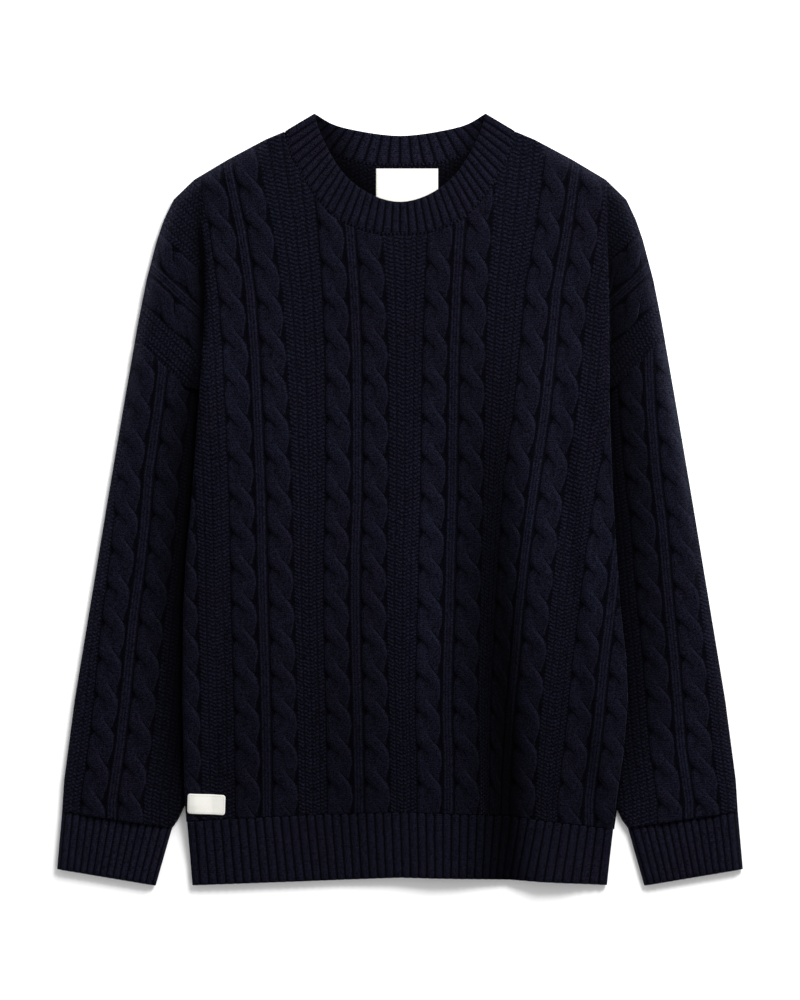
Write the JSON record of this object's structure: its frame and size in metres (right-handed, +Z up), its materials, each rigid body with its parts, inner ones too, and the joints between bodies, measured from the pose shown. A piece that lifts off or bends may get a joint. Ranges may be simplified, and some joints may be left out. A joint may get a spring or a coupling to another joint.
{
  "type": "sweater",
  "caption": "Crew neck cable knit sweater with drop shoulders and long sleeves, laid flat on its back, rib knit at the neck, hem and cuffs.",
  "frame": {"origin": "on the surface below the middle of the sweater's box", "axes": "+Y towards the neck, +X to the right as seen from above with the front up, +Z up from the surface"},
  "size_m": [0.6302, 0.7093, 0.0203],
  "materials": {
    "navy_wool": "matt heathered wool, cable knit",
    "navy_rib": "matt heathered wool, rib knit",
    "label_cloth": "white woven cotton tape"
  },
  "bodies": {
    "root": {"front_panel": "navy_wool", "back_panel": "navy_wool", "sleeve_left": "navy_wool", "sleeve_right": "navy_wool", "cuff_left": "navy_rib", "cuff_right": "navy_rib", "hem_front": "navy_rib", "hem_back": "navy_rib", "neckband_front": "navy_rib", "neckband_back": "navy_rib", "neck_label": "label_cloth", "hem_patch": "label_cloth"}
  },
  "joints": []
}
